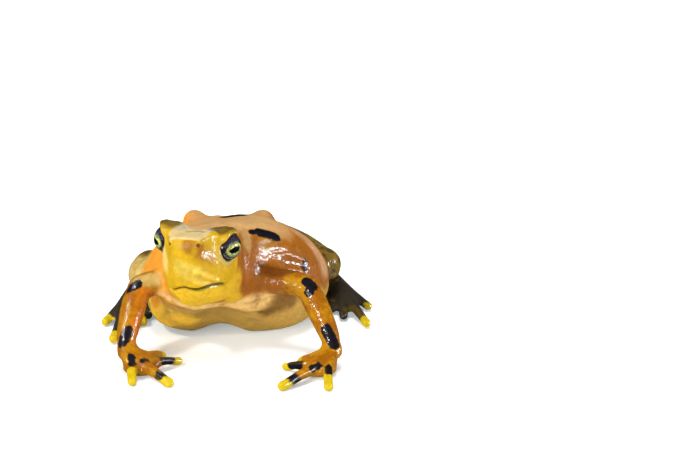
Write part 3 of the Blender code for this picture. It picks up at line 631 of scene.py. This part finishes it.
def makeEye(side):
    axis = outwards(eyeLook["turn"], eyeLook["lift"], signs[side])
    level = np.cross((0, 0, 1), axis)
    level = level / np.linalg.norm(level)
    upward = np.cross(axis, level)
    tilt = math.radians(eyeLook["tilt"]) * signs[side]
    rings, sides = eyeLook["rings"], eyeLook["sides"]
    points, across, raised = [], [], []
    for ring in range(rings + 1):
        theta = math.pi * ring / rings
        swell = eyeLook["cornea"] * float(bump(theta, eyeLook["corneaWidth"]))
        size = eyeSize + swell - eyeLook["inside"]
        for step in range(sides if 0 < ring < rings else 1):
            phi = 2 * math.pi * step / sides
            flat = level * math.cos(phi + tilt) + upward * math.sin(phi + tilt)
            points.append(eyeBalls[side] + (axis * math.cos(theta) + flat * math.sin(theta)) * size)
            across.append(theta * eyeSize * math.cos(phi))
            raised.append(theta * eyeSize * math.sin(phi))
    faces = []
    for step in range(sides):
        after = (step + 1) % sides
        faces.append((0, 1 + step, 1 + after))
        for ring in range(rings - 2):
            a, b = 1 + ring * sides, 1 + (ring + 1) * sides
            faces.append((a + step, b + step, b + after, a + after))
        last = 1 + (rings - 2) * sides
        faces.append((last + step, len(points) - 1, last + after))
    mesh = bpy.data.meshes.new("eyeball_" + side)
    mesh.from_pydata([tuple(p) for p in points], [], faces)
    work = bmesh.new()
    work.from_mesh(mesh)
    bmesh.ops.recalc_face_normals(work, faces=work.faces)
    work.to_mesh(mesh)
    work.free()
    storeValue(mesh, "across", across)
    storeValue(mesh, "raised", raised)
    return setInFrame(addObject("eyeball_" + side, mesh))


# Materials

def isSocket(value):
    return isinstance(value, bpy.types.NodeSocket)


def treeOf(*values):
    return next(value.id_data for value in values if isSocket(value))


def addNode(tree, kind, inputs=None, **settings):
    made = tree.nodes.new(kind)
    for key, value in settings.items():
        setattr(made, key, value)
    for key, value in (inputs or {}).items():
        if isSocket(value):
            tree.links.new(value, made.inputs[key])
        else:
            made.inputs[key].default_value = value
    return made


def sums(operation, first, second=0.0):
    inputs = {0: first, 1: second}
    return addNode(treeOf(first, second), "ShaderNodeMath", inputs, operation=operation).outputs[0]


def plus(first, second):
    return sums("ADD", first, second)


def minus(first, second):
    return sums("SUBTRACT", first, second)


def times(first, second):
    return sums("MULTIPLY", first, second)


def ramp(value, low, high, start=0.0, end=1.0):
    inputs = {0: value, 1: low, 2: high, 3: start, 4: end}
    return addNode(treeOf(value), "ShaderNodeMapRange", inputs, interpolation_type="SMOOTHSTEP").outputs[0]


def blendColour(factor, first, second, kind="MIX"):
    inputs = {0: factor, 6: first, 7: second}
    tree = treeOf(factor, first, second)
    return addNode(tree, "ShaderNodeMix", inputs, data_type="RGBA", blend_type=kind).outputs[2]


def stored(tree, name):
    return addNode(tree, "ShaderNodeAttribute", attribute_name=name).outputs["Fac"]


def colour(red, green, blue):
    return (red, green, blue, 1.0)


def newMaterial(name):
    material = bpy.data.materials.new(name)
    material.use_nodes = True
    return material, material.node_tree, material.node_tree.nodes["Principled BSDF"]


def setShader(shader, values):
    for name, value in values.items():
        shader.inputs[name].default_value = value


def newGroup(name, numbers, results):
    group = bpy.data.node_groups.new(name, "ShaderNodeTree")
    for label, value in numbers:
        socket = group.interface.new_socket(label, in_out="INPUT", socket_type="NodeSocketFloat")
        socket.default_value = value
    for label in results:
        group.interface.new_socket(label, in_out="OUTPUT", socket_type="NodeSocketFloat")
    return group, group.nodes.new("NodeGroupInput"), group.nodes.new("NodeGroupOutput")


perMetre = 1000.0  # pattern sizes are in millimetres
cloudLook = {"roughness": 0.6, "range": (0.25, 0.75)}
granuleSmooth = 0.3


def clouds(tree, scale, detail):
    spot = addNode(tree, "ShaderNodeTexCoord").outputs["Object"]
    inputs = {"Vector": spot, "Scale": scale, "Detail": detail, "Roughness": cloudLook["roughness"]}
    return ramp(addNode(tree, "ShaderNodeTexNoise", inputs).outputs["Fac"], *cloudLook["range"])


def granules(tree, size, amount):
    spot = addNode(tree, "ShaderNodeTexCoord").outputs["Object"]
    inputs = {"Vector": spot, "Scale": perMetre / size, "Smoothness": granuleSmooth}
    cells = addNode(tree, "ShaderNodeTexVoronoi", inputs, feature="SMOOTH_F1")
    return times(minus(1.0, cells.outputs["Distance"]), amount)


def mottleGroup():
    group, start, end = newGroup("fineMottle", [("Size", 1.0), ("Detail", 4.0)], ["Value"])
    scale = sums("DIVIDE", perMetre, start.outputs["Size"])
    group.links.new(clouds(group, scale, start.outputs["Detail"]), end.inputs["Value"])
    return group


mottle = mottleGroup()


def mottled(tree, size, detail):
    made = addNode(tree, "ShaderNodeGroup", node_tree=mottle)
    made.inputs["Size"].default_value = size
    made.inputs["Detail"].default_value = detail
    return made.outputs["Value"]


skinColours = {
    "back": (0.46, 0.260, 0.095),
    # painted shade on the frog's left flank and painted light on its right flank: two copies of one flank
    # colour
    "flank": (0.25, 0.078, 0.004),
    "flankInLight": (0.68, 0.255, 0.020),
    # neck: darker own tone together with painted shade behind the cheek
    "neck": (0.27, 0.080, 0.004),
    "belly": (0.37, 0.215, 0.040),
    "throat": (0.74, 0.460, 0.150),
    "head": (0.47, 0.275, 0.001),
    "jaw": (0.54, 0.320, 0.010),
    "lip": (0.50, 0.350, 0.045),
    "cheek": (0.69, 0.455, 0.130),
    "brow": (0.076, 0.038, 0.001),
    # painted reflection: pale sheen on the top of the head
    "crownSheen": (0.56, 0.430, 0.210),
    # mist on the skin: painted reflection over the dark marks of the head top
    "mist": (0.22, 0.260, 0.290),
    "snout": (0.28, 0.105, 0.002),
    "arm": (0.255, 0.080, 0.001),
    "armYellow": (0.33, 0.150, 0.002),
    "armPale": (0.42, 0.300, 0.090),
    "tan": (0.38, 0.230, 0.080),
    "ridge": (0.74, 0.480, 0.060),
    "shadow": (0.10, 0.028, 0.003),
    # painted shade under the left arm
    "hollowShade": (0.15, 0.070, 0.012),
    # painted light on the right belly lobe
    "litLobe": (0.72, 0.410, 0.024),
    "leg": (0.16, 0.095, 0.012),
    "knee": (0.500, 0.355, 0.105),
    # pale: painted sheen along the rim of the left flank
    "pale": (0.460, 0.270, 0.140),
    "foot": (0.030, 0.024, 0.018),
    "toe": (0.080, 0.050, 0.007),
    "tip": (0.50, 0.355, 0.004),
    "red": (0.50, 0.120, 0.004),
    "redMark": (0.03, 0.006, 0.003),
    "lid": (0.38, 0.310, 0.110),
    "ink": (0.006, 0.005, 0.008),
    "mouth": (0.050, 0.034, 0.002),
    "moss": (0.200, 0.200, 0.002),
    # pit: painted shade inside the nostrils, also the colour of a dark line on the crown
    "pit": (0.090, 0.032, 0.004),
}

# Layers of paint: colour, where the zone starts and is full, how far noise moves it, strength
bodyLayers = {
    # the flanks layer carries the painted light and shade of the two sides
    "flankZone": ("flanks", 0.0, 0.85, 0.4, 1.0),
    "bellyZone": ("belly", 0.15, 0.75, 0.3, 1.0),
    "neckZone": ("neck", 0.05, 0.8, 0.3, 0.9),
    "armZone": ("arms", 0.25, 0.8, 0.3, 1.0),
    "headZone": ("face", 0.3, 0.7, 0.2, 1.0),
}
faceLayers = {
    "jawZone": ("jaw", 0.1, 0.9, 0.2, 1.0),
    "cheekPale": ("cheek", 0.1, 0.9, 0.3, 0.8),
    "lipPale": ("lip", 0.1, 0.9, 0.4, 0.85),
    "snoutWarm": ("snout", 0.1, 0.8, 0.5, 0.95),
    "crownSheenZone": ("crownSheen", 0.2, 0.8, 0.2, 0.85),
    "browZone": ("brow", 0.1, 0.6, 0.3, 0.95),
}
touchLayer = (0.0, 0.9, 0.5)  # each touch has its own colour and strength
legLayers = {
    "redZone": ("red", 0.2, 0.95, 0.3, 0.6),
    "legZone": ("leg", 0.3, 0.7, 0.3, 1.0),
}
footLayers = {
    "kneePale": ("knee", 0.1, 0.7, 0.5, 0.85),
    "footZone": ("foot", 0.3, 0.75, 0.6, 1.0),
    "toeOlive": ("toe", 0.1, 0.6, 0.2, 0.9),
}

# Each noise: size in millimetres, detail
skinNoise = {"broad": (3.2, 3.0), "small": (0.7, 4.0), "grain": (0.16, 3.0), "bands": (2.0, 2.0)}

paintLook = {
    "stray": 2.4,
    "side": (0.1, 0.75, 0.2, 1.0),
    "armRagged": 0.2,
    "armYellow": (0.2, 0.85),
    "bandRagged": 0.3,
    "bands": (0.56, 0.7),
    "bandsOnLeg": (0.4, 0.8),
    "bandStrength": 0.75,
    "tipRagged": 0.5,
    "tip": (0.25, -0.25),
    "least": 0.74,  # darkest tone of the fine mottling
    "broad": 0.22,
    "small": 0.24,
    "grain": 0.08,
    # painted shade in the folds
    "foldShade": 0.3,
    "lid": (1.1, 0.2),
    "upperLid": 0.2,
    "lowerLid": 0.6,
    "lidLine": (0.16, 0.05),
    "markRagged": 0.3,
    "markWander": 0.2,
    "mark": (0.12, -0.12),
    "redMark": (0.3, -0.2, 0.0, 0.97),
    "mouthWidth": (0.0, 1.0, 0.16, 0.3),
    "mouth": (1.2, 0.3),
    "mouthStrength": 0.92,
    "mossBelow": 0.8,  # a mossy line under the lip's dark one
    "moss": (1.5, 0.2),
    "mossStrength": 0.7,
    "pit": (0.05, 0.7, 0.0, 0.9),
}

wetLook = {
    "rough": (0.38, 0.14),  # least, and what the mottling adds
    "dryMouth": 0.9,
    "facing": (0.4, 0.8, 1.0, 0.05),  # the coat fades where the skin turns away, against dark rims
    "relief": {"Distance": 0.00006, "Strength": 0.8},
    "reliefGrain": (0.45, 0.8),  # size and height
    "reliefSmall": 0.3,
    "glint": {"Distance": 0.00007, "Strength": 1.0},
    "headGrain": (0.68, 1.9),
    "bodyGrain": (0.52, 1.0),
    "rippleSize": 0.7,
    "rippleDetail": 4.0,
    "ripple": 0.3,
}

skinShader = {
    "Specular IOR Level": 0.18,
    "Coat Roughness": 0.05,
    "Subsurface Weight": 0.12,
    "Subsurface Scale": 0.0008,
    "Subsurface Radius": (1.0, 0.4, 0.15),
}


def zone(noise, name, low, high, stray, strength):
    moved = plus(times(noise["wander"], paintLook["stray"] * stray), 1.0)
    return ramp(times(stored(treeOf(moved), name), moved), low, high, 0.0, strength)


def layered(noise, tint, paint, layers):
    for name, (colourName, *values) in layers.items():
        tint = blendColour(zone(noise, name, *values), tint, paint[colourName])
    return tint


def bodyTint(tree, noise, paint):
    # painted light and shade: the right flank takes the lighter colour, the left flank the darker one
    side = zone(noise, "shadedSideZone", *paintLook["side"])
    paint["flanks"] = blendColour(side, paint["flankInLight"], paint["flank"])
    patches = plus(noise["broad"], times(noise["ragged"], paintLook["armRagged"]))
    paint["arms"] = blendColour(ramp(patches, *paintLook["armYellow"]), paint["arm"], paint["armYellow"])
    paint["face"] = layered(noise, paint["head"], paint, faceLayers)
    tint = layered(noise, paint["back"], paint, bodyLayers)
    for index, (name, strength, _, _) in enumerate(touches):
        touch = zone(noise, "touch%d" % index, *touchLayer, strength)
        tint = blendColour(touch, tint, paint[name])
    tint = layered(noise, tint, paint, legLayers)
    bands = ramp(plus(noise["bands"], times(noise["ragged"], paintLook["bandRagged"])), *paintLook["bands"])
    bands = times(bands, ramp(stored(tree, "legZone"), *paintLook["bandsOnLeg"]))
    tint = blendColour(times(bands, paintLook["bandStrength"]), tint, paint["foot"])
    tint = layered(noise, tint, paint, footLayers)
    tip = plus(stored(tree, "tipZone"), times(noise["ragged"], paintLook["tipRagged"]))
    return blendColour(ramp(tip, *paintLook["tip"]), tint, paint["tip"])


def mottleAndFoldShadeTint(tree, noise, tint):
    shade = plus(times(noise["broad"], paintLook["broad"]), paintLook["least"])
    shade = plus(shade, times(noise["small"], paintLook["small"]))
    shade = plus(shade, times(noise["grain"], paintLook["grain"]))
    # painted shade along the folds
    shade = minus(shade, times(stored(tree, "foldShadeZone"), paintLook["foldShade"]))
    tone = addNode(tree, "ShaderNodeCombineColor", {0: shade, 1: shade, 2: shade}).outputs[0]
    return blendColour(1.0, tint, tone, "MULTIPLY")


def markedTint(tree, noise, tint, paint):
    lid = plus(times(stored(tree, "lowerLid"), paintLook["lowerLid"]), paintLook["upperLid"])
    lid = times(ramp(stored(tree, "lidEdge"), *paintLook["lid"]), lid)
    tint = blendColour(lid, tint, paint["lid"])
    ragged = times(noise["ragged"], paintLook["markRagged"])
    red = ramp(plus(stored(tree, "redMark"), ragged), *paintLook["redMark"])
    tint = blendColour(red, tint, paint["redMark"])
    wander = times(noise["wander"], paintLook["markWander"])
    ink = ramp(plus(plus(stored(tree, "markEdge"), ragged), wander), *paintLook["mark"])
    return blendColour(ink, tint, paint["ink"])


def mouthLine(tree):
    wide, reach = stored(tree, "mouthWide"), stored(tree, "mouthReach")
    above = sums("DIVIDE", stored(tree, "mouthAbove"), ramp(wide, *paintLook["mouthWidth"]))
    moss = ramp(sums("ABSOLUTE", plus(above, paintLook["mossBelow"])), *paintLook["moss"])
    line = ramp(sums("ABSOLUTE", above), *paintLook["mouth"])
    return times(times(moss, wide), reach), times(line, reach)


def skinBumps(tree, small):
    onHeadShare = stored(tree, "headZone")
    height = plus(granules(tree, *wetLook["reliefGrain"]), times(small, wetLook["reliefSmall"]))
    relief = addNode(tree, "ShaderNodeBump", {"Height": height, **wetLook["relief"]})
    onBody = times(granules(tree, *wetLook["bodyGrain"]), minus(1.0, onHeadShare))
    height = plus(onBody, times(granules(tree, *wetLook["headGrain"]), onHeadShare))
    ripple = clouds(tree, perMetre / wetLook["rippleSize"], wetLook["rippleDetail"])
    height = plus(height, times(ripple, wetLook["ripple"]))
    glint = addNode(tree, "ShaderNodeBump", {"Height": height, **wetLook["glint"]})
    return relief.outputs[0], glint.outputs[0]


def skinMaterial():
    material, tree, shader = newMaterial("frogSkin")
    paint = {name: colour(*value) for name, value in skinColours.items()}
    noise = {name: mottled(tree, *values) for name, values in skinNoise.items()}
    noise["wander"], noise["ragged"] = minus(noise["broad"], 0.5), minus(noise["small"], 0.5)
    tint = mottleAndFoldShadeTint(tree, noise, bodyTint(tree, noise, paint))
    tint = markedTint(tree, noise, tint, paint)
    moss, line = mouthLine(tree)
    tint = blendColour(times(moss, paintLook["mossStrength"]), tint, paint["moss"])
    tint = blendColour(times(line, paintLook["mouthStrength"]), tint, paint["mouth"])
    # painted shade inside the nostrils
    tint = blendColour(ramp(stored(tree, "nostrilShade"), *paintLook["pit"]), tint, paint["pit"])
    tint = blendColour(ramp(stored(tree, "lidEdge"), *paintLook["lidLine"]), tint, paint["ink"])
    facing = addNode(tree, "ShaderNodeLayerWeight", {"Blend": 0.5}).outputs["Facing"]
    coat = times(minus(1.0, times(line, wetLook["dryMouth"])), ramp(facing, *wetLook["facing"]))
    least, more = wetLook["rough"]
    relief, glint = skinBumps(tree, noise["small"])
    tree.links.new(tint, shader.inputs["Base Color"])
    tree.links.new(plus(times(noise["small"], more), least), shader.inputs["Roughness"])
    tree.links.new(coat, shader.inputs["Coat Weight"])
    tree.links.new(relief, shader.inputs["Normal"])
    tree.links.new(glint, shader.inputs["Coat Normal"])
    setShader(shader, skinShader)
    print("skin painted:", len(tree.nodes), "nodes")
    return material


eyeColours = {
    "pupil": (0.002, 0.002, 0.004),
    "gold": (0.50, 0.47, 0.035),
    "pale": (0.62, 0.66, 0.22),
    "moss": (0.050, 0.070, 0.020),
    "mist": (0.24, 0.28, 0.19),
    "rim": (0.012, 0.006, 0.014),
    # painted reflection: greyish streaks on the dark ring above the iris
    "sheenHaze": (0.22, 0.19, 0.26),
}

irisLook = {
    "small": (0.3, 3.0),  # noise: size, detail
    "fine": (0.12, 2.0),
    "long": 1.12,
    "high": 0.95,
    "ragged": 0.3,
    "upper": (-0.5, 0.5),
    "bright": (0.3, 0.8),
    "dull": (0.35, 0.75),
    "lowerShine": 0.45,
    "moss": (0.6, 0.34, 0.0, 0.8),
    "goldRagged": 0.5,
    "goldEnds": (1.5, 2.2),
    "rim": (0.88, 1.05),
    "threadAt": 1.28,  # a thin pale line under the iris
    "thread": (0.09, 0.02),
    "threadLow": (0.0, -0.9, 0.0, 0.7),
    # painted reflection streaks, on the upper rim only
    "streak": (0.62, 0.74),
    "streakHigh": (0.5, 1.3, 0.0, 0.4),
    "streakOut": (0.9, 1.1),
    "pupilRagged": 0.1,
    "pupil": (1.06, 0.98),
}

eyeShader = {
    "Roughness": 0.35,
    "Specular IOR Level": 0.05,
    "Coat Weight": 0.8,
    "Coat Roughness": 0.02,
}


def oval(across, raised, longSize, highSize):
    first = sums("POWER", sums("ABSOLUTE", sums("DIVIDE", across, longSize)), 2.0)
    second = sums("POWER", sums("ABSOLUTE", sums("DIVIDE", raised, highSize)), 2.0)
    return sums("SQRT", plus(first, second))


def irisTint(raised, fine, small, paint):
    bright = blendColour(ramp(fine, *irisLook["bright"]), paint["gold"], paint["pale"])
    dull = blendColour(ramp(fine, *irisLook["dull"]), paint["moss"], paint["mist"])
    lower = blendColour(irisLook["lowerShine"], dull, bright)
    gold = blendColour(ramp(raised, *irisLook["upper"]), lower, bright)
    return blendColour(ramp(small, *irisLook["moss"]), gold, paint["moss"]), dull


def rimAndSheenTint(tint, raised, iris, fine, paint):
    tint = blendColour(ramp(iris, *irisLook["rim"]), tint, paint["rim"])
    thread = ramp(sums("ABSOLUTE", minus(iris, irisLook["threadAt"])), *irisLook["thread"])
    thread = times(thread, ramp(raised, *irisLook["threadLow"]))
    tint = blendColour(thread, tint, paint["mist"])
    # painted reflection: grey streaks on the upper part of the dark ring
    streak = times(ramp(fine, *irisLook["streak"]), ramp(raised, *irisLook["streakHigh"]))
    streak = times(streak, ramp(iris, *irisLook["streakOut"]))
    return blendColour(streak, tint, paint["sheenHaze"])


def eyeMaterial():
    material, tree, shader = newMaterial("wetEye")
    paint = {name: colour(*value) for name, value in eyeColours.items()}
    across, raised = stored(tree, "across"), stored(tree, "raised")
    small, fine = mottled(tree, *irisLook["small"]), mottled(tree, *irisLook["fine"])
    speck = minus(small, 0.5)
    pupil = oval(across, raised, eyeLook["pupilLong"], eyeLook["pupilHigh"])
    iris = oval(across, raised, eyeLook["iris"] * irisLook["long"], eyeLook["iris"] * irisLook["high"])
    iris = plus(iris, times(speck, irisLook["ragged"]))
    gold, dull = irisTint(raised, fine, small, paint)
    near = plus(pupil, times(speck, irisLook["goldRagged"]))
    tint = blendColour(ramp(near, *irisLook["goldEnds"]), gold, dull)
    tint = rimAndSheenTint(tint, raised, iris, fine, paint)
    inner = plus(pupil, times(speck, irisLook["pupilRagged"]))
    tint = blendColour(ramp(inner, *irisLook["pupil"]), tint, paint["pupil"])
    tree.links.new(tint, shader.inputs["Base Color"])
    setShader(shader, eyeShader)
    return material


# Floor, light and camera

floorReach = 3.0
floorShader = {
    "Base Color": colour(0.90, 0.90, 0.90),
    "Roughness": 0.55,
    "Emission Color": colour(0.75, 0.92, 1.0),  # a slight glow keeps the shadow pale
    "Emission Strength": 0.28,
}

lamps = {  # place, aim, size, watts, whether it glints on the wet skin
    "overhead": ((0.02, 0.05, 0.50), (0, 0.0, 0.01), 0.20, 1.9, False),
    "key": ((-0.245, -0.115, 0.32), (0, -0.005, 0.01), 0.05, 0.8, True),
    "front": ((-0.19, -0.39, 0.13), (0, -0.01, 0.012), 0.30, 1.7, False),
    "low": ((-0.16, -0.35, 0.045), (0, -0.01, 0.012), 0.04, 0.25, True),
    "right": ((0.34, -0.055, 0.085), (0.005, -0.01, 0.014), 0.05, 0.7, True),
    "rightLow": ((0.35, 0.01, 0.03), (0.005, -0.01, 0.014), 0.04, 0.3, True),
    "back": ((0.05, 0.45, 0.12), (0, 0, 0.015), 0.30, 0.5, False),
}

room = {"Color": colour(1.0, 1.0, 1.0), "Strength": 0.18}

cameraView = {
    "place": (23.382, -397.286, 153.227),  # millimetres, as the shapes are
    "turned": -0.1498,
    "lowered": 18.7928,
    "lens": 116.229,
    "sensor": 36.0,
    "nearest": 0.01,
}


def makeFloor():
    mesh = bpy.data.meshes.new("floor")
    corners = [(x * floorReach, y * floorReach, 0) for x, y in ((-1, -1), (1, -1), (1, 1), (-1, 1))]
    mesh.from_pydata(corners, [], [(0, 1, 2, 3)])
    floor = addObject("floor", mesh)
    material, _, shader = newMaterial("paleFloor")
    setShader(shader, floorShader)
    mesh.materials.append(material)
    floor.visible_glossy = False


def makeLamps():
    for name, (place, aim, size, watts, glints) in lamps.items():
        data = bpy.data.lights.new(name, "AREA")
        data.shape = "SQUARE"
        data.size = size
        data.energy = watts
        lamp = addObject(name, data)
        lamp.location = place
        lamp.rotation_euler = (Vector(aim) - Vector(place)).to_track_quat("-Z", "Y").to_euler()
        lamp.visible_glossy = glints
    world = bpy.data.worlds.new("paleRoom")
    world.use_nodes = True
    setShader(world.node_tree.nodes["Background"], room)
    world.cycles_visibility.glossy = False
    bpy.context.scene.world = world


def makeCamera():
    turned, lowered = math.radians(cameraView["turned"]), math.radians(cameraView["lowered"])
    level = math.cos(lowered)
    back = Vector((math.sin(turned) * level, -math.cos(turned) * level, math.sin(lowered)))
    right = Vector((math.cos(turned), math.sin(turned), 0.0))
    data = bpy.data.cameras.new("camera")
    data.lens = cameraView["lens"]
    data.sensor_width = cameraView["sensor"]
    data.clip_start = cameraView["nearest"]
    data.dof.use_dof = False
    camera = addObject("camera", data)
    camera.location = (Vector(cameraView["place"]) + Vector(shift)) * toMetres
    camera.rotation_euler = Matrix((right, back.cross(right), back)).transposed().to_euler()
    bpy.context.scene.camera = camera


skin = makeSkin()
skin.data.materials.append(skinMaterial())
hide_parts(*fleshNames)
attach(skin, "root")
wetEye = eyeMaterial()
for side in "LR":
    eye = makeEye(side)
    eye.data.materials.append(wetEye)
    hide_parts("eye_" + side)
    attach(eye, "root")
print("eyes made")
makeFloor()
makeLamps()
makeCamera()
bpy.context.scene.view_settings.view_transform = "Standard"
print("light and camera set")
